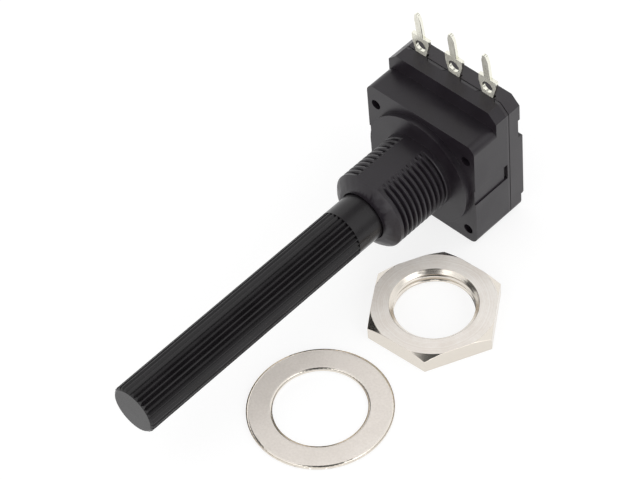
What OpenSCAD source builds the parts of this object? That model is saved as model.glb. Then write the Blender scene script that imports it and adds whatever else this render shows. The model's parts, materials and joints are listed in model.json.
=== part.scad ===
// Rotary potentiometer, 16 mm class, with a threaded bushing, a long splined shaft and three pin
// terminals, and with its nut and washer lying beside it.
// The origin is on the shaft's axis, at the face that seats on a panel. The shaft points along -Y,
// the terminals point up, and the flat underside, the nut and the washer lie on one level plane.

/* [Housing] */
// Width of the housing across its sides
housing_w = 16.2; // [15.8:0.1:18]
// Height from the shaft's axis up to the shelf in front of the terminal block
housing_up = 8.15; // [8:0.05:8.8]
// Depth from the shaft's axis down to the flat underside
housing_down = 7.8; // [7.7:0.05:9]
// Depth of the front housing, from its front face back to the joint with the rear cover
shell_depth = 5.5; // [5.2:0.05:8]
// Radius of the two upper corners
top_corner_r = 1.1; // [0.5:0.1:1.5]
// Radius of the two lower corners
bottom_corner_r = 1.1; // [0.3:0.1:1.5]
// Thickness of the wall behind the front face
front_wall = 1.2; // [0.8:0.05:1.4]
// Diameter of the round chamber that the rotor turns in
chamber_d = 13; // [12.8:0.1:13.4]
// Width of the ledge that the element plate rests against
seat_ledge = 0.35; // [0.2:0.05:0.4]

/* [Terminal block] */
// Height of the terminal block's top above the shaft's axis
block_up = 10.3; // [9.9:0.05:11]
// Distance from the front face back to the face of the block
block_setback = 3.8; // [3.2:0.05:4]
// Size of the two chamfered corners on top of the block
block_chamfer = 1.15; // [0.6:0.05:1.3]
// Width of each keying tongue at the joint between housing and cover
tongue_root_w = 2.7; // [2.4:0.1:3]
// Width of each keying tongue where it meets its terminal
tongue_tip_w = 1.9; // [1.6:0.1:2.2]

/* [Rear cover] */
// Depth of the rear cover
cover_depth = 2.25; // [2.2:0.05:3]
// How far the cover's underside stays above the housing's
cover_lift = 0.2; // [0.05:0.05:0.4]
// Height of the raised pad on the cover's back
pad_h = 0.4; // [0.2:0.05:0.8]
// Height of the pad's upper edge above the shaft's axis
pad_up = 4.2; // [3:0.1:5]
// Depth of the pad's lower edge below the shaft's axis
pad_down = 5.6; // [4.5:0.1:6.5]
// Height of the shallow step above the pad
back_step_h = 2.7; // [1.5:0.1:3]
// Depth of that step
back_step_depth = 0.3; // [0.1:0.05:0.5]
// Bevel along the pad's edges
pad_bevel = 0.15; // [0.05:0.05:0.18]

/* [Side bands and snaps] */
// Depth of the shallow band along each side
band_depth = 0.15; // [0.05:0.05:0.4]
// Upper edge of the band, above the shaft's axis
band_up = 1.25; // [0.8:0.05:1.8]
// Lower edge of the band, below the shaft's axis
band_down = 1; // [0.8:0.05:1.8]
// Depth of each snap window, measured in from the side
window_depth = 0.85; // [0.8:0.05:0.95]
// Length of each snap window, measured forward from the joint
window_len = 0.45; // [0.4:0.05:0.8]
// Thickness of the cover's snap lugs
lug_t = 0.35; // [0.2:0.05:0.4]

/* [Corner holes] */
// Distance from the housing's sides in to the corner holes
hole_side_inset = 1.3; // [1.15:0.05:1.45]
// Distance from the shelf down to the upper holes
hole_top_inset = 2.675; // [2.4:0.025:3]
// Distance from the underside up to the lower holes
hole_bottom_inset = 1.825; // [1.5:0.025:2]
// Diameter of the corner holes
hole_d = 1.3; // [0.8:0.05:1.4]
// Depth of the blind corner holes
hole_depth = 3; // [1:0.1:3.8]

/* [Bushing] */
// Height of the round seat around the bushing, which stands proud of the front face
boss_h = 0.75; // [0.5:0.05:1.2]
// Diameter of that seat
boss_d = 14.7; // [14:0.1:15.2]
// Depth of the flat along the seat's lower edge, below the shaft's axis
boss_flat = 6.6; // [6:0.1:6.9]
// Length of the bushing in front of the seat
bushing_len = 9.2; // [9:0.05:12]
// Outside diameter of the bushing's thread
thread_d = 9.9; // [9.7:0.05:10.2]
// Depth of that thread, which gives the nut's bore
thread_depth = 0.35; // [0.25:0.05:0.4]
// Width across the smooth strips that interrupt the thread above and below
strip_w = 9.4; // [9.3:0.05:9.6]
// Chamfer at the thread's outer end
bushing_chamfer = 0.4; // [0.2:0.05:0.6]
// Length of the sloping nose in front of that chamfer
nose_len = 0.6; // [0.2:0.05:1]
// Diameter of the nose around the mouth of the bore
nose_d = 6.8; // [6.6:0.1:8]
// Chamfer at the mouth of the bushing's bore
mouth_chamfer = 0.1; // [0.05:0.05:0.3]
// Gap between the shaft and its bore, on the radius
bore_clear = 0.05; // [0.02:0.01:0.08]

/* [Shaft] */
// Diameter of the shaft, over its splines too
shaft_d = 6; // [5.8:0.05:6.2]
// Length of the shaft in front of the seat
shaft_len = 45.4; // [30:0.1:60]
// Smooth length of the shaft that shows in front of the bushing
plain_len = 3.65; // [2:0.05:8]
// Number of spline teeth
spline_teeth = 30; // [24:1:36]
// Depth of the spline grooves
spline_depth = 0.28; // [0.15:0.01:0.32]
// Width of each spline tooth at its crest
spline_crest = 0.11; // [0.08:0.01:0.15]
// How far the crests stay below the plain part of the shaft
crest_step = 0.01; // [0.005:0.005:0.05]
// Chamfer at the shaft's tip
tip_chamfer = 0.3; // [0.1:0.05:0.6]
// Diameter of the flange that keeps the shaft in
flange_d = 8.4; // [7.6:0.1:9]
// Thickness of that flange
flange_t = 0.8; // [0.6:0.05:1]
// Play between the flange and the front wall
end_play = 0.05; // [0.02:0.01:0.1]
// Width across the shaft's square tail
tail_w = 3.6; // [3.2:0.1:4]
// Diameter of the pivot at the shaft's inner end
pivot_d = 2.4; // [2:0.1:2.6]
// Clearance between the pivot's end and the bottom of its socket
pivot_end_clear = 0.1; // [0.05:0.05:0.2]
// Thickness of the cover behind the pivot's socket
socket_floor = 0.35; // [0.3:0.05:0.6]

/* [Shaft seal] */
// Distance from the bushing's end back to the seal's groove
seal_setback = 3; // [2:0.1:6]
// Width of the seal's groove
groove_w = 1.1; // [1:0.05:1.6]
// Depth of the seal's groove
groove_depth = 0.8; // [0.6:0.05:0.9]
// Gap between the seal and the bore
seal_clear = 0.02; // [0.01:0.01:0.04]

/* [Rotor and wiper] */
// Gap between the rotor and the wall of its chamber
rotor_gap = 0.7; // [0.6:0.05:0.8]
// Thickness of the rotor
rotor_t = 1.4; // [1:0.05:1.5]
// Angle that the rotor's stop lug spans
lug_angle = 26; // [20:1:30]
// Angle that the housing's stop spans
stop_angle = 30; // [20:1:30]
// Gap that keeps the turning pieces clear of the housing
turn_gap = 0.2; // [0.15:0.05:0.25]
// Diameter of the spring's plate on the rotor
spring_plate_d = 7.8; // [7.2:0.1:8.2]
// Thickness of the wiper's spring strip
spring_t = 0.2; // [0.15:0.05:0.25]
// Width of the wiper's fingers
finger_w = 0.7; // [0.5:0.05:0.8]
// Gap between the wiper's contacts and the printed tracks
contact_gap = 0.03; // [0.02:0.01:0.05]

/* [Element plate] */
// Thickness of the element plate
plate_t = 1.1; // [0.8:0.05:1.2]
// How far the plate reaches into the rear cover
plate_in_cover = 0.4; // [0.4:0.05:0.6]
// How far the plate's tab reaches beyond the middle of the outer terminals
tab_margin = 1.3; // [1.15:0.05:1.5]
// Height of the tab's top above the shaft's axis
tab_up = 9.2; // [8.9:0.05:9.4]
// Thickness of the printed tracks
print_t = 0.08; // [0.05:0.01:0.12]
// Distance from the chamber's wall in to the resistance track
track_inset = 0.85; // [0.75:0.05:0.95]
// Width of the resistance track
track_w = 1.5; // [1.2:0.1:1.6]
// Distance from the plate's hole out to the collector ring
collector_inset = 0.55; // [0.4:0.05:0.6]
// Width of the collector ring
collector_w = 1; // [0.8:0.1:1.1]
// Clearance around the plate in its seat
seat_clear = 0.05; // [0.02:0.01:0.08]

/* [Terminals] */
// Spacing of the terminals
terminal_pitch = 5; // [4.9:0.05:5.1]
// Thickness of the terminals' sheet
terminal_t = 0.45; // [0.3:0.05:0.5]
// Width of each terminal across its shoulders
terminal_w = 2.6; // [2.4:0.1:2.9]
// Width of each terminal where it leaves the block
neck_w = 1.6; // [1.4:0.1:2.1]
// Height of the shoulders above the top of the block
shoulder_h = 2.65; // [2.5:0.05:3.5]
// Height of the straight sides below the shoulders
ear_h = 0.9; // [0.4:0.1:1.2]
// Height of the tips above the top of the block
pin_h = 6.55; // [5:0.05:9]
// Width of the pins
pin_w = 0.95; // [0.8:0.05:1.2]
// Width of the pins' round tips
pin_tip_w = 0.6; // [0.4:0.05:0.8]
// Length over which the pins taper to their tips
pin_taper = 1; // [0.5:0.1:1.5]
// How far the pins lean forward at their tips
pin_lean = 0.45; // [0:0.05:0.8]
// Diameter of the eyelet hole
eye_d = 1.5; // [0.8:0.05:1.5]
// Height of the eyelet hole's centre above the top of the block
eye_h = 1.2; // [1.1:0.05:1.5]
// Width of each terminal's foot behind the element plate
foot_w = 2.2; // [2:0.1:2.4]
// Length of the foot below its rivet
foot_len = 1.15; // [1.05:0.05:1.4]

/* [Rivets] */
// Height of the rivets above the shaft's axis
rivet_up = 7.4; // [7.2:0.05:7.5]
// Diameter of the rivets' shanks
rivet_d = 1.2; // [1:0.05:1.3]
// Diameter of the rivets' heads
rivet_head_d = 1.9; // [1.7:0.05:2]
// Thickness of the rivets' heads
rivet_head_t = 0.25; // [0.15:0.05:0.3]
// Diameter of the hollow through each rivet
rivet_bore_d = 0.6; // [0.4:0.05:0.7]
// Clearance around each shank
rivet_clear = 0.05; // [0.02:0.01:0.08]

/* [Nut and washer] */
// Wall of the nut between its bore and its flats
nut_wall = 2.4; // [2.1:0.1:2.8]
// Thickness of the nut
nut_t = 2.2; // [1.8:0.1:2.4]
// Width of the chamfer on top of the nut's corners
nut_corner_cut = 0.9; // [0.6:0.05:1]
// Chamfer at each end of the nut's bore
nut_bore_chamfer = 0.5; // [0.2:0.05:0.6]
// Turn of the nut about its own axis, as it lies
nut_turn = 4; // [0:1:59]
// Distance from the shaft's axis across to the nut's centre
nut_x = 11.4; // [11:0.1:20]
// Distance that the nut's flats are drawn in front of the seat
nut_gap = 3.2; // [2.5:0.1:3.6]
// Gap between the washer's bore and the bushing's thread, on the radius
washer_clear = 0.35; // [0.2:0.05:0.6]
// Width of the washer's ring
washer_band = 2.9; // [2.4:0.1:3.2]
// Thickness of the washer
washer_t = 0.5; // [0.4:0.05:0.8]
// Distance from the shaft's axis across to the washer's centre
washer_x = 10.7; // [9:0.1:20]
// Distance from the nut's flats to the washer
washer_gap = 2.8; // [1.6:0.1:12]

/* [Hidden] */
$fn = 72;

// Overlap that lets a cut run clean past a face.
eps = 0.5;

// Planes along the shaft, counted back from the seat.
face_y = boss_h;
wall_y = face_y + front_wall;
joint_y = face_y + shell_depth;
back_y = joint_y + cover_depth;
plate_back_y = joint_y + plate_in_cover;
plate_front_y = plate_back_y - plate_t;
track_y = plate_front_y - print_t;
flange_front_y = wall_y + end_play;
flange_back_y = flange_front_y + flange_t;
rotor_back_y = flange_back_y + rotor_t;
spring_back_y = rotor_back_y + spring_t;
contact_y = track_y - contact_gap;
block_y = face_y + block_setback;
terminal_back_y = plate_back_y + terminal_t;
socket_y = back_y - socket_floor;

bore_r = shaft_d / 2 + bore_clear;
chamber_r = chamber_d / 2;
seat_r = chamber_r + seat_ledge;
plate_r = seat_r - seat_clear;
rotor_r = chamber_r - rotor_gap;
lug_r = chamber_r - turn_gap;
plate_hole_r = pivot_d / 2 + turn_gap;
track_r = chamber_r - track_inset - track_w / 2;
collector_r = plate_hole_r + collector_inset + collector_w / 2;
terminal_xs = [-terminal_pitch, 0, terminal_pitch];
tab_half_w = terminal_pitch + tab_margin;
foot_up = (tab_up + block_up) / 2;
plain_end = bushing_len + plain_len;
seal_front = bushing_len - seal_setback;

// The nut's bore has the thread's root diameter, and the washer passes over the crests.
root_d = thread_d - 2 * thread_depth;
nut_af = root_d + 2 * nut_wall;
nut_ahead = nut_gap + nut_af / 2;
washer_id = thread_d + 2 * washer_clear;
washer_od = washer_id + 2 * washer_band;
washer_ahead = nut_ahead + nut_af / 2 + washer_gap + washer_od / 2;

// Angles on the element plate, counted from straight down.
track_end = 146;
pad_end = 166;

// Pocket in the housing for the rivet heads and the leads that run to them from the track's ends.
head_pocket_low = -(track_r - track_w / 2) * cos(track_end);
head_pocket_y = track_y - rivet_head_t - turn_gap;
head_pocket_half_w = terminal_pitch + rivet_head_d / 2 + seat_clear;
head_pocket_up = rivet_up + rivet_head_d / 2 + seat_clear;

// Points along an arc, for the round parts of an outline.
function arc(centre, r, from, to, steps = 8) =
    [for (i = [0:steps]) let (a = from + (to - from) * i / steps)
        [centre[0] + r * cos(a), centre[1] + r * sin(a)]];

// Outlines are drawn with X to the right and Z up, as seen from the front, and slabs stand between
// two planes along the shaft.
module slab(from_y, to_y) {
    translate([0, to_y, 0]) rotate([90, 0, 0]) linear_extrude(to_y - from_y) children();
}

// A rod along the shaft's direction.
module rod(r, from_y, to_y, x = 0, z = 0) {
    translate([x, to_y, z]) rotate([90, 0, 0]) cylinder(r = r, h = to_y - from_y);
}

// A turned form about the shaft's axis: its profile is [radius, distance in front of the seat].
module turned(profile) {
    rotate([90, 0, 0]) rotate_extrude() polygon(profile);
}

module body_outline() {
    w = housing_w / 2;
    polygon(concat(
        arc([w - bottom_corner_r, bottom_corner_r - housing_down], bottom_corner_r, -90, 0),
        arc([w - top_corner_r, housing_up - top_corner_r], top_corner_r, 0, 90),
        arc([top_corner_r - w, housing_up - top_corner_r], top_corner_r, 90, 180),
        arc([bottom_corner_r - w, bottom_corner_r - housing_down], bottom_corner_r, 180, 270)));
}

// The terminal block's outline goes down over the body's upper corners.
module block_outline() {
    w = housing_w / 2;
    low = housing_up - 2 * top_corner_r;
    polygon([
        [-w, low], [w, low],
        [w, block_up - block_chamfer], [w - block_chamfer, block_up],
        [block_chamfer - w, block_up], [-w, block_up - block_chamfer]]);
}

// The plate's outline, with its tab behind the terminals, grown by a clearance where it is a seat.
module plate_outline(grow = 0) {
    circle(r = plate_r + grow);
    translate([-tab_half_w - grow, 0])
        square([2 * (tab_half_w + grow), tab_up + grow]);
}

// Keying tongues stand behind the housing's block and push against the terminals.
module tongues(grow = 0) {
    z0 = tab_up + seat_clear;
    for (x = terminal_xs)
        translate([x, 0, z0 - grow])
            linear_extrude(block_up - z0 + grow + (grow > 0 ? eps : 0))
                polygon([
                    [-tongue_root_w / 2 - grow, joint_y - (grow > 0 ? 0 : eps)],
                    [-tongue_root_w / 2 - grow, joint_y],
                    [-tongue_tip_w / 2 - grow, plate_back_y],
                    [tongue_tip_w / 2 + grow, plate_back_y],
                    [tongue_root_w / 2 + grow, joint_y],
                    [tongue_root_w / 2 + grow, joint_y - (grow > 0 ? 0 : eps)]]);
}

// A block as high as the side band, cut in from each side, from one plane to another.
module side_pair(depth, thickness, from_y, to_y, shrink = 0) {
    for (side = [-1, 1])
        translate([
            side * (housing_w / 2 - depth + thickness / 2),
            (from_y + to_y) / 2,
            (band_up - band_down) / 2])
            cube([thickness, to_y - from_y, band_up + band_down - 2 * shrink], center = true);
}

// Part of a ring that spans an angle about a direction, drawn as an outline.
module ring_sector(r_in, r_out, middle, span) {
    reach = 2 * r_out;
    intersection() {
        difference() {
            circle(r = r_out);
            circle(r = r_in);
        }
        polygon(concat([[0, 0]], arc([0, 0], reach, middle - span / 2, middle + span / 2, 6)));
    }
}

// One moulding: a flat-bottomed shell with its terminal block, the round seat and the bushing.
module front_housing() {
    thread_end = bushing_len - nose_len;
    color([0.2, 0.2, 0.21]) {
        difference() {
            union() {
                slab(face_y, joint_y) body_outline();
                slab(block_y, joint_y) block_outline();
                slab(0, face_y + front_wall / 2) intersection() {
                    circle(r = boss_d / 2);
                    translate([-boss_d, -boss_flat]) square(2 * boss_d);
                }
                intersection() {
                    turned([
                        [0, -face_y], [thread_d / 2, -face_y],
                        [thread_d / 2, thread_end - bushing_chamfer],
                        [thread_d / 2 - bushing_chamfer, thread_end],
                        [nose_d / 2, bushing_len], [0, bushing_len]]);
                    translate([-thread_d, -bushing_len - eps, -strip_w / 2])
                        cube([2 * thread_d, bushing_len + face_y + 2 * eps, strip_w]);
                }
                tongues();
            }
            turned([
                [0, -wall_y - eps], [bore_r, -wall_y - eps],
                [bore_r, bushing_len - mouth_chamfer],
                [bore_r + mouth_chamfer + eps, bushing_len + eps], [0, bushing_len + eps]]);
            slab(wall_y, plate_front_y + eps / 2) difference() {
                circle(r = chamber_r);
                ring_sector(rotor_r + turn_gap, 2 * chamber_r, 90, stop_angle);
            }
            slab(plate_front_y, joint_y + seat_clear) plate_outline(seat_clear);
            slab(head_pocket_y, joint_y)
                translate([-head_pocket_half_w, head_pocket_low])
                    square([2 * head_pocket_half_w, head_pocket_up - head_pocket_low]);
            for (x = [-1, 1], z = [hole_bottom_inset - housing_down, housing_up - hole_top_inset])
                rod(hole_d / 2, face_y - eps, face_y + hole_depth,
                    x * (housing_w / 2 - hole_side_inset), z);
            side_pair(band_depth, band_depth + eps, face_y - eps, joint_y - window_len + 0.01);
            side_pair(window_depth, window_depth + eps, joint_y - window_len, joint_y + eps);
        }
    }
}

// The cover closes the back, holds the element plate and the terminals, and snaps in at the sides.
module rear_cover() {
    slot_half_w = foot_w / 2 + 2 * seat_clear;
    neck_half_w = neck_w / 2 + 2 * seat_clear;
    slot_low = rivet_up - foot_len - seat_clear;
    lug_in = window_depth - seat_clear;
    color([0.18, 0.18, 0.19]) {
        difference() {
            union() {
                slab(joint_y, back_y) {
                    body_outline();
                    block_outline();
                }
                cover_pad();
                side_pair(lug_in, lug_t, joint_y - window_len + seat_clear, joint_y + eps,
                    seat_clear);
            }
            slab(joint_y - window_len, plate_back_y) plate_outline(seat_clear);
            tongues(2 * seat_clear);
            slab(plate_back_y - 0.01, terminal_back_y + seat_clear)
                for (x = terminal_xs)
                    translate([x, 0]) {
                        translate([-slot_half_w, slot_low])
                            square([2 * slot_half_w, foot_up + seat_clear - slot_low]);
                        translate([-neck_half_w, foot_up])
                            square([2 * neck_half_w, block_up - foot_up + eps]);
                    }
            for (x = terminal_xs)
                rod(rivet_head_d / 2 + 2 * seat_clear, plate_back_y - 0.01,
                    terminal_back_y + rivet_head_t + 2 * seat_clear, x, rivet_up);
            rod(pivot_d / 2 + bore_clear, plate_back_y - 0.01, socket_y);
            slab(back_y - back_step_depth, back_y + pad_h + eps)
                translate([-housing_w, pad_up]) square([2 * housing_w, back_step_h]);
            slab(joint_y - eps, back_y + eps)
                translate([-housing_w, cover_lift - housing_down - housing_w])
                    square([2 * housing_w, housing_w]);
        }
    }
}

// The raised pad across the cover's back, with bevelled upper and lower edges.
module cover_pad() {
    rise = pad_h;
    translate([-housing_w / 2, 0, 0]) rotate([90, 0, 90]) linear_extrude(housing_w)
        polygon([
            [back_y - pad_bevel, -pad_down], [back_y + rise - pad_bevel, -pad_down],
            [back_y + rise, pad_bevel - pad_down], [back_y + rise, pad_up - pad_bevel],
            [back_y + rise - pad_bevel, pad_up], [back_y - pad_bevel, pad_up]]);
}

// A long moulded shaft: splined in front, a journal in the bushing, then a flange, a square tail
// for the rotor and a pivot that runs in the cover.
module shaft() {
    r = shaft_d / 2;
    groove_back = seal_front - groove_w;
    color([0.14, 0.13, 0.125]) {
        turned([
            [0, -flange_back_y], [flange_d / 2, -flange_back_y],
            [flange_d / 2, -flange_front_y], [r, -flange_front_y],
            [r, groove_back], [r - groove_depth, groove_back],
            [r - groove_depth, seal_front], [r, seal_front],
            [r, plain_end], [0, plain_end]]);
        intersection() {
            slab(-shaft_len, -plain_end + eps) spline_outline();
            turned([
                [0, 0], [shaft_d, 0], [shaft_d, shaft_len - tip_chamfer - r],
                [r - tip_chamfer, shaft_len], [0, shaft_len]]);
        }
        slab(flange_back_y - eps / 2, rotor_back_y) square(tail_w, center = true);
        rod(pivot_d / 2, rotor_back_y - eps / 2, socket_y - pivot_end_clear);
    }
}

// Narrow crests with V grooves between them. The crests stay a hair inside the plain part.
module spline_outline() {
    crest = shaft_d / 2 - crest_step;
    root = shaft_d / 2 - spline_depth;
    half = asin(spline_crest / 2 / crest);
    step = 360 / spline_teeth;
    polygon([
        for (i = [0:spline_teeth - 1], p = [[crest, -half], [crest, half], [root, step / 2]])
            let (a = i * step + p[1]) [p[0] * cos(a), p[0] * sin(a)]]);
}

// Rubber ring in the shaft's groove, which keeps water out of the bushing.
module shaft_seal() {
    outer = bore_r - seal_clear;
    inner = shaft_d / 2 - groove_depth;
    color([0.09, 0.09, 0.09])
        translate([0, groove_w / 2 - seal_front, 0]) rotate([90, 0, 0]) rotate_extrude()
            translate([(outer + inner) / 2, 0]) circle(r = (outer - inner) / 2);
}

// The rotor sits on the shaft's square tail and carries the wiper and the stop lug.
module rotor() {
    color([0.86, 0.84, 0.78])
        slab(flange_back_y, rotor_back_y) difference() {
            union() {
                circle(r = rotor_r);
                ring_sector(rotor_r - eps, lug_r, -90, lug_angle);
            }
            square(tail_w + 2 * seat_clear, center = true);
        }
}

// One strip of spring sheet, cut and folded: a plate on the rotor with a finger for the track and
// a finger for the collector ring.
module wiper_spring() {
    ear_w = 1;
    ear_x = -2.3;
    window = finger_w + 2 * seat_clear;
    color([0.82, 0.68, 0.42]) {
        slab(rotor_back_y, spring_back_y) difference() {
            union() {
                circle(d = spring_plate_d);
                translate([ear_x, -track_r - finger_w / 2]) square([ear_w, track_r]);
            }
            circle(r = plate_hole_r);
            translate([ear_x + ear_w, collector_r - window / 2]) square([2 * ear_w, window]);
        }
        wiper_finger(ear_x, -track_r, ear_w);
        wiper_finger(ear_x, collector_r, ear_w);
    }
}

// A finger lies on the plate at its root, slopes back to the track and ends in a flat contact.
module wiper_finger(x, z, root) {
    run = -x + finger_w / 2;
    foot = finger_w;
    low = rotor_back_y;
    high = contact_y;
    translate([x, 0, z - finger_w / 2]) linear_extrude(finger_w)
        polygon([
            [0, low], [root, low], [run - foot, high - spring_t], [run, high - spring_t],
            [run, high], [run - foot - spring_t / 2, high],
            [root - spring_t / 2, low + spring_t], [0, low + spring_t]]);
}

// Insulating plate that carries the printed tracks in front and the terminals behind.
module element_plate() {
    color([0.55, 0.36, 0.2])
        slab(plate_front_y, plate_back_y) difference() {
            plate_outline();
            circle(r = plate_hole_r);
            rivet_holes();
        }
}

module rivet_holes() {
    for (x = terminal_xs) translate([x, rivet_up]) circle(r = rivet_d / 2 + rivet_clear);
}

// Horseshoe of resistance ink, open towards the terminals.
module carbon_track() {
    color([0.1, 0.1, 0.1])
        slab(track_y, plate_front_y)
            ring_sector(track_r - track_w / 2, track_r + track_w / 2, -90, 2 * track_end);
}

// Conducting ring for the inner finger, with its lead to the middle terminal.
module collector_track() {
    lead_w = 1;
    color([0.78, 0.78, 0.76])
        slab(track_y, plate_front_y) difference() {
            union() {
                circle(r = collector_r + collector_w / 2);
                translate([-lead_w / 2, 0]) square([lead_w, rivet_up]);
                translate([0, rivet_up]) circle(r = rivet_head_d / 2);
            }
            circle(r = collector_r - collector_w / 2);
            rivet_holes();
        }
}

// Conducting end of the resistance track and its lead to an outer terminal.
module end_pad_right() {
    r = track_r + track_w / 2;
    pad_w = rivet_head_d;
    color([0.78, 0.78, 0.76])
        slab(track_y, plate_front_y) difference() {
            union() {
                ring_sector(track_r - track_w / 2, r,
                    -90 + (track_end + pad_end) / 2, pad_end - track_end);
                polygon([
                    [r * sin(pad_end - 4), -r * cos(pad_end - 4)],
                    [track_r * sin(pad_end - 8), -track_r * cos(pad_end - 8)],
                    [r * sin(track_end + 1), -r * cos(track_end + 1)],
                    [terminal_pitch + pad_w / 2, rivet_up],
                    [terminal_pitch - pad_w / 2, rivet_up]]);
                translate([terminal_pitch, rivet_up]) circle(r = pad_w / 2);
            }
            rivet_holes();
        }
}
module end_pad_left() { mirror([1, 0, 0]) end_pad_right(); }

// A stamped terminal: a foot behind the plate, a neck that widens to square shoulders around the
// eyelet hole, and a narrow pin with a round tip, which leans forward from the shoulders up.
module terminal(x) {
    p = pin_w / 2;
    t = pin_tip_w / 2;
    w = terminal_w / 2;
    n = neck_w / 2;
    f = foot_w / 2;
    shoulder = block_up + shoulder_h;
    tip = block_up + pin_h;
    low = rivet_up - foot_len;
    color([0.8, 0.79, 0.71]) intersection() {
        slab(plate_back_y - pin_lean, terminal_back_y) translate([x, 0]) difference() {
            polygon(concat(
                [[-f, low], [f, low], [f, foot_up], [n, foot_up], [n, block_up],
                    [w, shoulder - ear_h], [w, shoulder], [p, shoulder], [p, tip - pin_taper]],
                arc([0, tip - t], t, 0, 180, 8),
                [[-p, tip - pin_taper], [-p, shoulder], [-w, shoulder], [-w, shoulder - ear_h],
                    [-n, block_up], [-n, foot_up], [-f, foot_up]]));
            translate([0, block_up + eye_h]) circle(r = eye_d / 2);
            translate([0, rivet_up]) circle(r = rivet_d / 2 + rivet_clear);
        }
        translate([x - terminal_w, 0, 0]) rotate([90, 0, 90]) linear_extrude(2 * terminal_w)
            polygon([
                [plate_back_y, low], [terminal_back_y, low], [terminal_back_y, shoulder],
                [terminal_back_y - pin_lean, tip], [plate_back_y - pin_lean, tip],
                [plate_back_y, shoulder]]);
    }
}
module terminal_left() { terminal(terminal_xs[0]); }
module terminal_middle() { terminal(terminal_xs[1]); }
module terminal_right() { terminal(terminal_xs[2]); }

// A hollow rivet clamps each lead, the plate and a terminal together.
module rivet(x) {
    shank = rivet_d / 2;
    head = rivet_head_d / 2;
    front = track_y - rivet_head_t;
    back = terminal_back_y + rivet_head_t;
    color([0.82, 0.8, 0.72])
        translate([x, 0, rivet_up]) rotate([90, 0, 0]) rotate_extrude()
            polygon([
                [rivet_bore_d / 2, -back], [head, -back], [head, -terminal_back_y],
                [shank, -terminal_back_y], [shank, -track_y], [head, -track_y],
                [head, -front], [rivet_bore_d / 2, -front]]);
}
module rivet_left() { rivet(terminal_xs[0]); }
module rivet_middle() { rivet(terminal_xs[1]); }
module rivet_right() { rivet(terminal_xs[2]); }

// A thin hexagon nut, with its upper corners turned off at 30 degrees.
module mounting_nut() {
    corner_r = nut_af / 2 / cos(30);
    bore = root_d / 2;
    crown = corner_r - nut_corner_cut;
    reach = nut_corner_cut + eps;
    c = nut_bore_chamfer;
    color([0.86, 0.83, 0.8])
        translate([nut_x, -nut_ahead, -housing_down]) rotate([0, 0, nut_turn]) difference() {
            intersection() {
                cylinder(r = corner_r, h = nut_t, $fn = 6);
                rotate_extrude() polygon([
                    [0, 0], [crown + reach, 0], [crown + reach, nut_t - reach * tan(30)],
                    [crown, nut_t], [0, nut_t]]);
            }
            rotate_extrude() polygon([
                [0, -eps], [bore + c + eps, -eps], [bore, c], [bore, nut_t - c],
                [bore + c + eps, nut_t + eps], [0, nut_t + eps]]);
        }
}

// A flat stamped washer.
module flat_washer() {
    color([0.86, 0.83, 0.79])
        translate([washer_x, -washer_ahead, -housing_down]) difference() {
            cylinder(d = washer_od, h = washer_t);
            translate([0, 0, -eps]) cylinder(d = washer_id, h = washer_t + 2 * eps);
        }
}

front_housing();
rear_cover();
shaft();
shaft_seal();
rotor();
wiper_spring();
element_plate();
carbon_track();
collector_track();
end_pad_left();
end_pad_right();
terminal_left();
terminal_middle();
terminal_right();
rivet_left();
rivet_middle();
rivet_right();
mounting_nut();
flat_washer();
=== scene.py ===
# %% [markdown]
# # A rotary potentiometer with its nut and washer
# A potentiometer is a knob-turned resistor. This one has a black moulded housing, a threaded bushing
# that a nut clamps to a panel, a long splined shaft for a knob, and three tinned terminals. Its size
# and its motion come from a CAD model that stays as it is. Here it gets its real surfaces: moulded
# plastic, tinned and nickelled metal, soft edges and true screw threads.

# %% Load the frame
import json
import math

import bpy
from mathutils import Matrix, Vector

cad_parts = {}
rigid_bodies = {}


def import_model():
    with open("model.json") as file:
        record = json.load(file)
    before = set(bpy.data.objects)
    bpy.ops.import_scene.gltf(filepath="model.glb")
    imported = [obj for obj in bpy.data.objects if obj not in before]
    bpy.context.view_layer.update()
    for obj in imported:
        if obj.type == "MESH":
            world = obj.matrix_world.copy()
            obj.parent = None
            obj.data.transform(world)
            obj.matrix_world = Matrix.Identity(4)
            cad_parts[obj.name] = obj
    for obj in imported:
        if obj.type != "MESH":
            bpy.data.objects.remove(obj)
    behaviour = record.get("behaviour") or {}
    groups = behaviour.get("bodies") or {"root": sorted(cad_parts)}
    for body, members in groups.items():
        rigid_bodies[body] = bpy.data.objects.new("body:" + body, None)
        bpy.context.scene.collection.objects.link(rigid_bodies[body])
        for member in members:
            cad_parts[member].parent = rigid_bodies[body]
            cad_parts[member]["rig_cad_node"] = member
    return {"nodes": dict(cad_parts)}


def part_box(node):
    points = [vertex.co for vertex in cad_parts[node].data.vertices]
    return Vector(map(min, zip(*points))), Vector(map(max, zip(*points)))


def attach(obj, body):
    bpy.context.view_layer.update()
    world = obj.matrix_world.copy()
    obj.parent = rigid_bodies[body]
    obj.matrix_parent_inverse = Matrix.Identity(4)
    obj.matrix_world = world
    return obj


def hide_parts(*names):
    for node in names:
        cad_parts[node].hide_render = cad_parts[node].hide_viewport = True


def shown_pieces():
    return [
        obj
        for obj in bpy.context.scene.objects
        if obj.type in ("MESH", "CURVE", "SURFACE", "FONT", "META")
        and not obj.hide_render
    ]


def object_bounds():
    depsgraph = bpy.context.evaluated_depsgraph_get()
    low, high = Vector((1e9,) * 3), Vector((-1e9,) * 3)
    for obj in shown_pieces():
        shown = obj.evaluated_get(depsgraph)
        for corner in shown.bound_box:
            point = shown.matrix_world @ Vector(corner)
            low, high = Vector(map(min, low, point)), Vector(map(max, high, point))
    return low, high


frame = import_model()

cad_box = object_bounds()
nodes = frame["nodes"]
print("CAD nodes:", ", ".join(sorted(nodes)))

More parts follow.
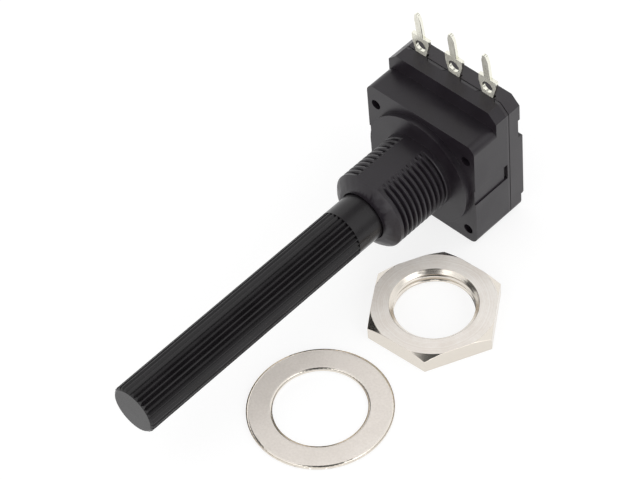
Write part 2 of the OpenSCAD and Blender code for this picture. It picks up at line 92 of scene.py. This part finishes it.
# %% [markdown]
# ## Working in millimetres
# The frame is in metres, so the whole part is a few hundredths of a unit. Bevels and boolean cuts have
# small fixed tolerances that such a mesh comes close to. Each new piece is therefore enlarged a
# thousand times, shaped in millimetres, and brought back to metres at the end, with its object left at
# the origin, unturned and unscaled. Its edges are rounded by then, and a Weighted Normal modifier lets
# the large flat faces decide the shading, so that they stay flat up to the start of each rounding.

# %% Helpers for taking, enlarging and finishing a piece
MM = 0.001
MERGE = 0.0005


def take(piece):
    """Makes one object the only selected one, and the active one."""
    bpy.ops.object.select_all(action="DESELECT")
    piece.select_set(True)
    bpy.context.view_layer.objects.active = piece
    return piece


def scale_mesh(piece, factor):
    take(piece)
    piece.scale = (factor,) * 3
    bpy.ops.object.transform_apply(location=True, rotation=True, scale=True)


def apply_modifier(piece, kind, **settings):
    take(piece)
    modifier = piece.modifiers.new(kind.lower(), kind)
    for key, value in settings.items():
        setattr(modifier, key, value)
    bpy.ops.object.modifier_apply(modifier=modifier.name)


def boolean(piece, tool, operation):
    apply_modifier(piece, "BOOLEAN", object=tool, operation=operation, solver="EXACT")
    bpy.data.objects.remove(tool)


def finish_piece(piece, body, *stands_for, smooth_deg=32):
    """Shaded, back to metres, riding on its body in place of its CAD nodes."""
    take(piece)
    bpy.ops.object.shade_smooth_by_angle(angle=math.radians(smooth_deg))
    apply_modifier(piece, "WEIGHTED_NORMAL", weight=100, keep_sharp=True)
    scale_mesh(piece, MM)
    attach(piece, body)
    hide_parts(*stands_for)
    print(f"{piece.name}: {len(piece.data.polygons)} faces")


# %% [markdown]
# ## Softening what the CAD model gives
# Moulded and stamped parts have no knife edges: a small radius at each edge catches the light and draws
# the outline. The CAD mesh is loose triangles, so a copy of it is merged first, its flat faces are
# dissolved into large ones, and a Bevel modifier then rounds every edge that is sharper than an angle.
# Modelling each part again from a cube would give the same edges with much more work and less accuracy.

# %% A rounded copy of a CAD node
FLAT_DEG = 0.5


def rounded_copy(node, name, width, segments=2, angle_deg=30):
    piece = bpy.data.objects.new(name, nodes[node].data.copy())
    bpy.context.scene.collection.objects.link(piece)
    scale_mesh(piece, 1 / MM)
    bpy.ops.object.mode_set(mode="EDIT")
    bpy.ops.mesh.select_all(action="SELECT")
    bpy.ops.mesh.remove_doubles(threshold=MERGE)
    bpy.ops.mesh.dissolve_limited(angle_limit=math.radians(FLAT_DEG))
    bpy.ops.object.mode_set(mode="OBJECT")
    if width:
        apply_modifier(piece, "BEVEL", width=width, segments=segments, limit_method="ANGLE",
                       angle_limit=math.radians(angle_deg), use_clamp_overlap=True)
    return piece


# %% [markdown]
# ## A helical cutter for the threads
# Both threads, on the bushing and in the nut, have a pitch of 0.75 mm. A thread is cut as a lathe cuts
# it: the shape of one groove is swept along a helix and taken away from the blank. The groove's section
# starts as a plane. Its edge at the root is made narrow and its flanks are bent at half depth, so that
# the groove flares at the top and leaves soft crests. A Screw modifier sweeps it, and the two open ends
# are then capped, so that the cutter is a closed solid. It reaches a little past the crests, because a
# cut that ends exactly on a surface is not reliable.

# %% Sweep one groove
THREAD_PITCH = 0.75
PAST_CREST = 0.06
STEPS_PER_TURN = 72


def groove_cutter(name, rim_r, rim, waist, root_r, root, turns):
    """A closed helical bar about Z. Its section is `rim` wide at rim_r and `root` wide at root_r."""
    middle_r = (rim_r + root_r) / 2
    bpy.ops.object.select_all(action="DESELECT")
    bpy.ops.mesh.primitive_plane_add(size=1, location=(middle_r, 0, 0),
                                     rotation=(math.radians(90), 0, 0))
    cutter = bpy.context.object
    cutter.name = name
    cutter.scale = (abs(rim_r - root_r), rim, 1)
    bpy.ops.object.transform_apply(location=True, rotation=True, scale=True)
    bpy.ops.object.mode_set(mode="EDIT")
    bpy.ops.mesh.select_all(action="SELECT")
    bpy.ops.mesh.subdivide(number_cuts=1)
    bpy.ops.object.mode_set(mode="OBJECT")
    for at_r, width in ((root_r, root), (middle_r, waist)):
        mesh = cutter.data
        for vertex in mesh.vertices:
            vertex.select = abs(vertex.co.x - at_r) < 0.01
        for elements in (mesh.edges, mesh.polygons):
            for element in elements:
                element.select = all(mesh.vertices[v].select for v in element.vertices)
        bpy.ops.object.mode_set(mode="EDIT")
        bpy.ops.transform.resize(value=(1, 1, width / rim), center_override=(at_r, 0, 0))
        bpy.ops.object.mode_set(mode="OBJECT")
    bpy.ops.object.mode_set(mode="EDIT")
    bpy.ops.mesh.select_all(action="SELECT")
    bpy.ops.mesh.dissolve_limited(angle_limit=math.radians(1))
    bpy.ops.mesh.delete(type="ONLY_FACE")
    bpy.ops.object.mode_set(mode="OBJECT")
    apply_modifier(cutter, "SCREW", angle=math.tau, screw_offset=THREAD_PITCH, iterations=turns,
                   steps=STEPS_PER_TURN, render_steps=STEPS_PER_TURN, axis="Z")
    bpy.ops.object.mode_set(mode="EDIT")
    bpy.ops.mesh.select_all(action="SELECT")
    bpy.ops.mesh.remove_doubles(threshold=MERGE)
    bpy.ops.mesh.fill_holes(sides=0)
    bpy.ops.mesh.select_all(action="SELECT")
    bpy.ops.mesh.normals_make_consistent(inside=False)
    bpy.ops.object.mode_set(mode="OBJECT")
    return cutter


# %% [markdown]
# ## The housing and its threaded bushing
# Housing, round seat and bushing are one moulding. Its two mould halves leave a smooth strip along the
# top and the bottom of the thread, and each groove runs out towards it. A hexagonal prism takes the
# strips out of the cutter before the cutter goes to the housing: its sloping faces let the grooves get
# shallower, and the two ends of the helix fall in the lower strip. The nose at the front stays smooth.

# %% Model the housing
HOUSING_EDGE = 0.13
BUSHING_CREST_R, BUSHING_ROOT_R = 4.95, 4.5
BUSHING_TURNS = 10
THREAD_START = 0.3
PRISM_SHAPE = (3.7, 6.05, 1)
PRISM_LENGTH, PRISM_Y = 20, -5

housing = rounded_copy("front_housing", "moulded_housing", HOUSING_EDGE, segments=3)
bushing_cutter = groove_cutter("bushing_cutter", rim_r=BUSHING_CREST_R + PAST_CREST, rim=0.64,
                               waist=0.32, root_r=BUSHING_ROOT_R, root=0.16, turns=BUSHING_TURNS)
bushing_cutter.rotation_euler = (math.radians(90), math.radians(90), 0)
bushing_cutter.location = (0, -THREAD_START - THREAD_PITCH / 4, 0)
take(bushing_cutter)
bpy.ops.object.transform_apply(location=True, rotation=True, scale=True)
bpy.ops.object.select_all(action="DESELECT")
bpy.ops.mesh.primitive_cylinder_add(vertices=6, radius=1, depth=PRISM_LENGTH,
                                    location=(0, PRISM_Y, 0), rotation=(math.radians(90), 0, 0),
                                    scale=PRISM_SHAPE)
boolean(bushing_cutter, bpy.context.object, "DIFFERENCE")
boolean(housing, bushing_cutter, "DIFFERENCE")
finish_piece(housing, "housing", "front_housing", smooth_deg=28)

# %% [markdown]
# ## The rear cover
# The cover snaps onto the housing, and its rim does not quite touch: a narrow dark gap runs all round
# the joint. It is cut from the cover's front face with a thin slab that has the cover's own outline,
# a little smaller, taken out of it, so that only the rim moves back.

# %% Model the cover
COVER_EDGE = 0.1
GAP_WIDTH = 0.05
CORE_SHARE = (0.95, 3, 0.955)
CORE_MIDDLE_Z = 1.3
SLAB_SIDE = 40
joint_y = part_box("front_housing")[1].y / MM

cover = rounded_copy("rear_cover", "moulded_cover", COVER_EDGE)
core = rounded_copy("rear_cover", "cover_core", 0)
bpy.ops.object.mode_set(mode="EDIT")
bpy.ops.mesh.select_all(action="SELECT")
bpy.ops.mesh.convex_hull()
bpy.ops.transform.resize(value=CORE_SHARE, center_override=(0, joint_y, CORE_MIDDLE_Z))
bpy.ops.object.mode_set(mode="OBJECT")
bpy.ops.object.select_all(action="DESELECT")
bpy.ops.mesh.primitive_cube_add(size=1, location=(0, joint_y, 0),
                                scale=(SLAB_SIDE, 2 * GAP_WIDTH, SLAB_SIDE))
gap = bpy.context.object
boolean(gap, core, "DIFFERENCE")
boolean(cover, gap, "DIFFERENCE")
finish_piece(cover, "housing", "rear_cover")

# %% [markdown]
# ## The shaft
# The splines are moulded with narrow crests. Rounding them by a few hundredths of a millimetre gives
# each crest the thin light line that it shows on the real shaft.

# %% Model the shaft
CREST_EDGE = 0.03

shaft = rounded_copy("shaft", "splined_shaft", CREST_EDGE, angle_deg=35)
finish_piece(shaft, "shaft", "shaft")

# %% [markdown]
# ## Terminals
# The terminals are stamped from tinned sheet. The punch leaves a small roll at each edge, around the
# eyelet too, and that roll is what shines.

# %% Model the terminals
TERMINAL_EDGE = 0.06

for side in ("left", "middle", "right"):
    terminal = rounded_copy("terminal_" + side, "tinned_terminal_" + side, TERMINAL_EDGE)
    finish_piece(terminal, "housing", "terminal_" + side)

# %% [markdown]
# ## The nut
# The nut's bore is chamfered and threaded, and its thread is cut by the same helical bar, turned inside
# out: wide at the bore and narrow at the root. The bar is shortened first, so that the thread stops
# short of the two chamfers and leaves them clean.

# %% Model the nut
NUT_EDGE = 0.07
NUT_CREST_R, NUT_ROOT_R = 4.6, 4.95
NUT_TURNS = 5
NUT_MOUTH = 0.45
BLOCK_SIDE = 14
nut_low, nut_high = (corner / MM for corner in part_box("mounting_nut"))
nut_centre = (nut_low + nut_high) / 2

nut = rounded_copy("mounting_nut", "hex_nut", NUT_EDGE, angle_deg=20)
nut_cutter = groove_cutter("nut_cutter", rim_r=NUT_CREST_R - PAST_CREST, rim=0.66, waist=0.36,
                           root_r=NUT_ROOT_R, root=0.16, turns=NUT_TURNS)
nut_cutter.location = nut_centre - Vector((0, 0, NUT_TURNS / 2 * THREAD_PITCH))
take(nut_cutter)
bpy.ops.object.transform_apply(location=True, rotation=True, scale=True)
bpy.ops.object.select_all(action="DESELECT")
bpy.ops.mesh.primitive_cube_add(
    size=1, location=nut_centre,
    scale=(BLOCK_SIDE, BLOCK_SIDE, nut_high.z - nut_low.z - 2 * NUT_MOUTH))
boolean(nut_cutter, bpy.context.object, "INTERSECT")
boolean(nut, nut_cutter, "DIFFERENCE")
finish_piece(nut, "housing", "mounting_nut")

# %% [markdown]
# ## The washer
# The washer is stamped. The punch leaves a larger roll on its upper outer rim, so the edges of that rim
# are picked by height and distance and bevelled by themselves. The other edges are only rounded.

# %% Model the washer
PUNCH_ROLL = 0.4
WASHER_EDGE = 0.09
NEAR_TOP, NEAR_RIM = 0.01, 0.5

washer = rounded_copy("flat_washer", "stamped_washer", 0)
washer_low, washer_high = (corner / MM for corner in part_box("flat_washer"))
washer_centre = (washer_low + washer_high) / 2
rim_r = (washer_high.x - washer_low.x) / 2
for edge in washer.data.edges:
    ends = [washer.data.vertices[v].co for v in edge.vertices]
    edge.select = all(end.z > washer_high.z - NEAR_TOP and
                      (end - washer_centre).xy.length > rim_r - NEAR_RIM for end in ends)
bpy.ops.object.mode_set(mode="EDIT")
bpy.ops.mesh.bevel(offset=PUNCH_ROLL, segments=8, affect="EDGES")
bpy.ops.object.mode_set(mode="OBJECT")
apply_modifier(washer, "BEVEL", width=WASHER_EDGE, segments=3, limit_method="ANGLE",
               angle_limit=math.radians(60))
finish_piece(washer, "housing", "flat_washer")

# %% [markdown]
# ## Grain for moulded plastic
# A mould's surface is etched, so a moulding has a fine satin grain, and thin walls flow a little
# unevenly, so its gloss drifts over a few millimetres. Several plastics here have both, with their own
# size and strength. That is a case for a node group: noise on Object coordinates goes in, and a
# height, a roughness and a tint come out. The shader itself stays in each material.

# %% Build the grain group
def group(name, inputs, outputs):
    tree = bpy.data.node_groups.new(name, "ShaderNodeTree")
    for label, default in inputs.items():
        tree.interface.new_socket(label, in_out="INPUT", socket_type="NodeSocketFloat") \
            .default_value = default
    for label in outputs:
        tree.interface.new_socket(label, in_out="OUTPUT", socket_type="NodeSocketFloat")
    return tree, tree.nodes.new("NodeGroupInput"), tree.nodes.new("NodeGroupOutput")


def add(tree, kind, inputs=None, **settings):
    """Adds a node, sets its properties, and fills its inputs with values or links."""
    node = tree.nodes.new("ShaderNode" + kind)
    for key, value in settings.items():
        setattr(node, key, value)
    for key, value in (inputs or {}).items():
        if isinstance(value, bpy.types.NodeSocket):
            tree.links.new(value, node.inputs[key])
        else:
            node.inputs[key].default_value = value
    return node


def ramp(tree, value, low, high, start=0.3, end=0.7):
    """Maps a noise value to a range, smoothly."""
    return add(tree, "MapRange", {"Value": value, "From Min": start, "From Max": end,
                                  "To Min": low, "To Max": high},
               interpolation_type="SMOOTHSTEP").outputs["Result"]


GRAIN_SCALE, FLOW_SCALE = 7000.0, 250.0

grain, grain_in, grain_out = group(
    "moulded_grain",
    {"Grain Scale": GRAIN_SCALE, "Flow Scale": FLOW_SCALE, "Smooth": 0.3, "Rough": 0.4},
    ["Height", "Roughness", "Tint"])
place = add(grain, "TexCoord").outputs["Object"]
fine = add(grain, "TexNoise", {"Vector": place, "Scale": grain_in.outputs["Grain Scale"],
                               "Detail": 3.0, "Roughness": 0.6})
flow = add(grain, "TexNoise", {"Vector": place, "Scale": grain_in.outputs["Flow Scale"],
                               "Detail": 2.0})
both = add(grain, "Math", {0: fine.outputs["Fac"], 1: flow.outputs["Fac"]}, operation="MULTIPLY")
grain.links.new(fine.outputs["Fac"], grain_out.inputs["Height"])
grain.links.new(ramp(grain, flow.outputs["Fac"], grain_in.outputs["Smooth"],
                     grain_in.outputs["Rough"]), grain_out.inputs["Roughness"])
grain.links.new(ramp(grain, both.outputs[0], 0.0, 1.0, 0.1, 0.4), grain_out.inputs["Tint"])
print("group:", grain.name)

# %% [markdown]
# ## Materials
# Each finish is one material: a Principled shader that keeps its constant values on its own sockets,
# with colour, roughness and bump that drift over the surface. A helper gives the empty material, and
# the function for mouldings adds the grain. A Mix node has sockets of the same name for numbers and for
# colours, so the ones for colours are found by their place.

# %% A material with a Principled shader, and the plastics
COLOUR_A, COLOUR_B, COLOUR_OUT = 6, 7, 2
GRAIN_DEPTH = 0.02 * MM


def new_material(name, **sockets):
    material = bpy.data.materials.new(name)
    material.use_nodes = True
    shader = material.node_tree.nodes["Principled BSDF"]
    for key, value in sockets.items():
        shader.inputs[key.replace("_", " ")].default_value = value
    return material, material.node_tree, shader


def blend_colour(tree, factor, first, second):
    mix = add(tree, "Mix", {"Factor": factor}, data_type="RGBA")
    mix.inputs[COLOUR_A].default_value = (*first, 1)
    mix.inputs[COLOUR_B].default_value = (*second, 1)
    return mix.outputs[COLOUR_OUT]


def bump(tree, height, strength, distance):
    return add(tree, "Bump", {"Height": height, "Strength": strength,
                              "Distance": distance}).outputs["Normal"]


def moulded(name, dark, light, smooth, rough, grain_scale, strength, ior=1.5):
    material, tree, shader = new_material(name, IOR=ior)
    grained = add(tree, "Group", node_tree=grain)
    for key, value in (("Grain Scale", grain_scale), ("Smooth", smooth), ("Rough", rough)):
        grained.inputs[key].default_value = value
    link = tree.links.new
    link(grained.outputs["Roughness"], shader.inputs["Roughness"])
    link(blend_colour(tree, grained.outputs["Tint"], dark, light), shader.inputs["Base Color"])
    link(bump(tree, grained.outputs["Height"], strength, GRAIN_DEPTH), shader.inputs["Normal"])
    return material


housing_black = moulded("housing_black", (0.012, 0.009, 0.0125), (0.018, 0.0145, 0.019), 0.3, 0.4,
                        GRAIN_SCALE, 0.25, ior=1.45)
cover_black = moulded("cover_black", (0.024, 0.02, 0.024), (0.034, 0.03, 0.034), 0.3, 0.4,
                      GRAIN_SCALE, 0.25, ior=1.47)
shaft_black = moulded("shaft_black", (0.005, 0.004, 0.005), (0.009, 0.0075, 0.009), 0.2, 0.28,
                      9000.0, 0.12, ior=1.42)
seal_rubber = moulded("seal_rubber", (0.01, 0.01, 0.01), (0.02, 0.02, 0.02), 0.55, 0.7,
                      9000.0, 0.3)
rotor_plastic = moulded("rotor_plastic", (0.68, 0.65, 0.57), (0.76, 0.73, 0.66), 0.35, 0.45,
                        6000.0, 0.2)
plate_phenolic = moulded("plate_phenolic", (0.24, 0.12, 0.05), (0.34, 0.18, 0.08), 0.35, 0.5,
                         2500.0, 0.3)
track_carbon = moulded("track_carbon", (0.012, 0.012, 0.012), (0.03, 0.03, 0.03), 0.45, 0.6,
                       12000.0, 0.4)
print("plastics made")

# %% [markdown]
# ## Metals
# Tin plate and nickel plate are metals, so their base colour is the colour that they reflect, and most
# of their detail is in the gloss. Two finishes meet on each piece. Its flat faces are matte: the sheet
# is tumbled before it is plated, and the nut's face is turned, and such a ground scatters light. Its
# rolled edges, chamfers and bore are burnished, have a colour of their own, and mirror the
# surroundings. The surface's direction tells one from the other, compared with the axis that the flat
# faces look along. Fine lines come from noise that is stretched by a Mapping node, and the nut's rings
# from the distance to its centre.

# %% The metals
MARK_DEPTH = 0.01 * MM
DRIFT_SCALE = 300.0
RING_SCALE = 6500.0
RING_WOBBLE = 0.0006
LINES_OVER_RINGS = 0.35
MARKS_IN_TONE = 0.6


def plated(name, faces, dull, dark, light, bare, smooth, rough, edge, stretch, strength,
           turns_about=None):
    """Faces that look along `faces` are matte, with `dull` as their share of metal.

    They are coloured from dark to light, and the burnished rest is `bare`."""
    material, tree, shader = new_material(name)
    at = add(tree, "TexCoord")
    place = at.outputs["Object"]
    streak = add(tree, "Mapping", {"Vector": place, "Scale": stretch}).outputs["Vector"]
    lines = add(tree, "TexNoise", {"Vector": streak, "Scale": 1.0, "Detail": 3.0}).outputs["Fac"]
    drift = add(tree, "TexNoise", {"Vector": place, "Scale": DRIFT_SCALE,
                                   "Detail": 2.0}).outputs["Fac"]
    height = lines
    if turns_about:
        centred = add(tree, "Mapping", {"Vector": place, "Location": turns_about}).outputs["Vector"]
        plane = add(tree, "VectorMath", {0: centred, 1: (1, 1, 0)}, operation="MULTIPLY")
        radius = add(tree, "VectorMath", {0: plane.outputs["Vector"]}, operation="LENGTH")
        wobble = add(tree, "Math", {0: drift, 1: RING_WOBBLE, 2: radius.outputs["Value"]},
                     operation="MULTIPLY_ADD")
        rings = add(tree, "TexNoise", {"W": wobble.outputs[0], "Scale": RING_SCALE, "Detail": 3.0},
                    noise_dimensions="1D").outputs["Fac"]
        height = add(tree, "Mix", {"Factor": LINES_OVER_RINGS, "A": rings,
                                   "B": lines}).outputs["Result"]
    turned = add(tree, "VectorMath", {0: at.outputs["Normal"], 1: faces}, operation="DOT_PRODUCT")
    level = add(tree, "Math", {0: turned.outputs["Value"]}, operation="ABSOLUTE").outputs[0]
    flat = ramp(tree, level, 0.0, 1.0, 0.9, 0.99)
    scatter = ramp(tree, drift, smooth, rough)
    marks = add(tree, "Mix", {"Factor": flat, "A": drift, "B": height}).outputs["Result"]
    tone = add(tree, "Mix", {"Factor": MARKS_IN_TONE, "A": drift, "B": marks}).outputs["Result"]
    link = tree.links.new
    matte = blend_colour(tree, ramp(tree, tone, 0.0, 1.0), dark, light)
    colour = add(tree, "Mix", {"Factor": flat}, data_type="RGBA")
    colour.inputs[COLOUR_A].default_value = (*bare, 1)
    link(matte, colour.inputs[COLOUR_B])
    link(colour.outputs[COLOUR_OUT], shader.inputs["Base Color"])
    link(ramp(tree, flat, 1.0, dull, 0.0, 1.0), shader.inputs["Metallic"])
    link(add(tree, "Mix", {"Factor": flat, "A": edge, "B": scatter}).outputs["Result"],
         shader.inputs["Roughness"])
    link(bump(tree, height, strength, MARK_DEPTH), shader.inputs["Normal"])
    return material


nut_axis = tuple(-nut_centre * MM)
nut_nickel = plated("nut_nickel", (0, 0, 1), 0.12, (0.84, 0.77, 0.70), (1.0, 0.96, 0.91),
                    (0.76, 0.71, 0.64), 0.4, 0.5, 0.2, (3000, 3000, 3000), 0.8,
                    turns_about=nut_axis)
washer_nickel = plated("washer_nickel", (0, 0, 1), 0.1, (0.80, 0.74, 0.68), (0.89, 0.83, 0.77),
                       (0.80, 0.75, 0.68), 0.5, 0.6, 0.18, (4000, 4000, 4000), 0.3)
terminal_tin = plated("terminal_tin", (0, 1, 0), 0.45, (0.83, 0.81, 0.70), (0.97, 0.95, 0.85),
                      (0.90, 0.89, 0.79), 0.24, 0.36, 0.14, (5000, 5000, 500), 0.3)
rivet_tin = plated("rivet_tin", (0, 1, 0), 0.6, (0.70, 0.69, 0.60), (0.78, 0.77, 0.68),
                   (0.78, 0.77, 0.68), 0.3, 0.4, 0.2, (3000, 3000, 3000), 0.3)
spring_bronze = plated("spring_bronze", (0, 1, 0), 1.0, (0.60, 0.40, 0.20), (0.68, 0.48, 0.26),
                       (0.68, 0.48, 0.26), 0.22, 0.32, 0.2, (500, 5000, 5000), 0.3)
track_silver = plated("track_silver", (0, 1, 0), 0.7, (0.66, 0.65, 0.63), (0.75, 0.74, 0.72),
                      (0.72, 0.71, 0.69), 0.4, 0.55, 0.4, (6000, 6000, 6000), 0.5)
print("metals made")

# %% [markdown]
# ## Give every piece its material and its slot
# The pieces that replace a CAD node take the finish that the node's slot names. The CAD nodes that are
# kept, all inside the housing, get a real finish too, because someone may take the part apart. The
# cover shares its slot with the housing. It is a moulding of its own, and its black is a little lighter.

# %% Assign
FINISHES = {
    "black_housing": housing_black, "black_shaft": shaft_black, "rubber_seal": seal_rubber,
    "natural_plastic": rotor_plastic, "spring_bronze": spring_bronze, "phenolic": plate_phenolic,
    "carbon_ink": track_carbon, "silver_ink": track_silver, "tinned_terminal": terminal_tin,
    "tinned_rivet": rivet_tin, "nickel_nut": nut_nickel, "nickel_washer": washer_nickel,
}
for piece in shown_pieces():
    slot = piece.data.materials[0].name.split(".")[0]
    finish = cover_black if piece == cover else FINISHES[slot]
    piece.data.materials.clear()
    piece.data.materials.append(finish)
    print(piece.name, "->", finish.name)

# %% [markdown]
# ## Table, light and camera
# The part lies on a white table in an even white light, as for a catalogue. Black plastic then shows
# only what it mirrors, so the surroundings matter more than lamps. They are a white tent with four soft
# dark patches. The slit for the camera and the one above it give the metal its dark lines. The gap
# between the two lamps overhead and the dim end of the tent behind the part draw the dark bands along
# the round shaft. A fifth patch, low on the right, is brighter than the tent and lifts the metal. The
# table takes soft shadows and adds light of its own for the rays that see it, so that it stays white.
# Each patch has a heading, the angles at which it is full and gone, and its share of the tent's light.

# %% The table
TABLE_SIDE = 1.2
TABLE_GAP = 0.02 * MM
TABLE_GLOW = 0.8
floor_z = cad_box[0].z
bpy.ops.object.select_all(action="DESELECT")
bpy.ops.mesh.primitive_plane_add(size=TABLE_SIDE, location=(0, 0, floor_z - TABLE_GAP))
table = bpy.context.object
table.name = "table"
white, tree, shader = new_material("table_white", Roughness=1.0, Specular_IOR_Level=0.0)
drift = add(tree, "TexNoise", {"Vector": add(tree, "TexCoord").outputs["Object"],
                               "Scale": 40.0}).outputs["Fac"]
tree.links.new(blend_colour(tree, drift, (0.25, 0.25, 0.25), (0.26, 0.26, 0.26)),
               shader.inputs["Base Color"])
path = add(tree, "LightPath")
seen = add(tree, "Math", {0: path.outputs["Is Camera Ray"], 1: path.outputs["Is Glossy Ray"]},
           operation="MAXIMUM")
seen = add(tree, "Math", {0: seen.outputs[0], 1: path.outputs["Is Transmission Ray"]},
           operation="MAXIMUM")
glow = add(tree, "Math", {0: seen.outputs[0], 1: TABLE_GLOW}, operation="MULTIPLY")
shader.inputs["Emission Color"].default_value = (1, 1, 1, 1)
tree.links.new(glow.outputs[0], shader.inputs["Emission Strength"])
table.data.materials.append(white)

# %% The surroundings
CAMERA_PLACE = Vector((151.262, -152.441, 237.317)) * MM
CAMERA_LOOKS = Vector((-0.48592955, 0.438178, -0.75622253))
CAMERA_UP = Vector((-0.48977096, 0.58010696, 0.65084585))

world = bpy.data.worlds.new("surroundings")
bpy.context.scene.world = world
world.use_nodes = True
tree = world.node_tree
background = tree.nodes["Background"]
direction = add(tree, "TexCoord").outputs["Generated"]
CAMERA_SLIT = (-CAMERA_LOOKS, 14, 28, 0.05)
LAMP_GAP = (Vector((-0.15, 0.44, 0.885)), 5, 22, 0.4)
DIM_END = (Vector((0.9, 0.44, -0.02)), 12, 34, 0.5)
SLIT_TOP = (Vector((0.26, -0.23, 0.94)), 14, 24, 0.08)
BRIGHT_SIDE = (Vector((0.8, -0.5, 0.4)), 20, 60, 2.1)
PATCHES = (CAMERA_SLIT, LAMP_GAP, DIM_END, SLIT_TOP, BRIGHT_SIDE)
TENT = 1.07
brightness = None
for heading, full_deg, none_deg, strength in PATCHES:
    toward = add(tree, "VectorMath", {0: direction, 1: heading.normalized()},
                 operation="DOT_PRODUCT")
    patch = ramp(tree, toward.outputs["Value"], 1.0, strength, math.cos(math.radians(none_deg)),
                 math.cos(math.radians(full_deg)))
    brightness = patch if brightness is None else add(
        tree, "Math", {0: brightness, 1: patch}, operation="MULTIPLY").outputs[0]
path = add(tree, "LightPath")
level = add(tree, "Math", {0: brightness, 1: path.outputs["Is Camera Ray"]}, operation="MAXIMUM")
level = add(tree, "Math", {0: level.outputs[0], 1: TENT}, operation="MULTIPLY")
tree.links.new(level.outputs[0], background.inputs["Strength"])
background.inputs["Color"].default_value = (1, 1, 1, 1)

# %% The camera
SENSOR_WIDTH, FOCAL_LENGTH = 36, 157.87
NEAREST, FARTHEST = 0.01, 10

camera = bpy.data.objects.new("camera", bpy.data.cameras.new("camera"))
bpy.context.scene.collection.objects.link(camera)
bpy.context.scene.camera = camera
camera.data.sensor_width = SENSOR_WIDTH
camera.data.lens = FOCAL_LENGTH
camera.data.clip_start = NEAREST
camera.data.clip_end = FARTHEST
across = CAMERA_LOOKS.cross(CAMERA_UP)
camera.matrix_world = Matrix.Translation(CAMERA_PLACE) @ Matrix(
    (across, CAMERA_UP, -CAMERA_LOOKS)).transposed().to_4x4()
bpy.context.scene.view_settings.view_transform = "Standard"
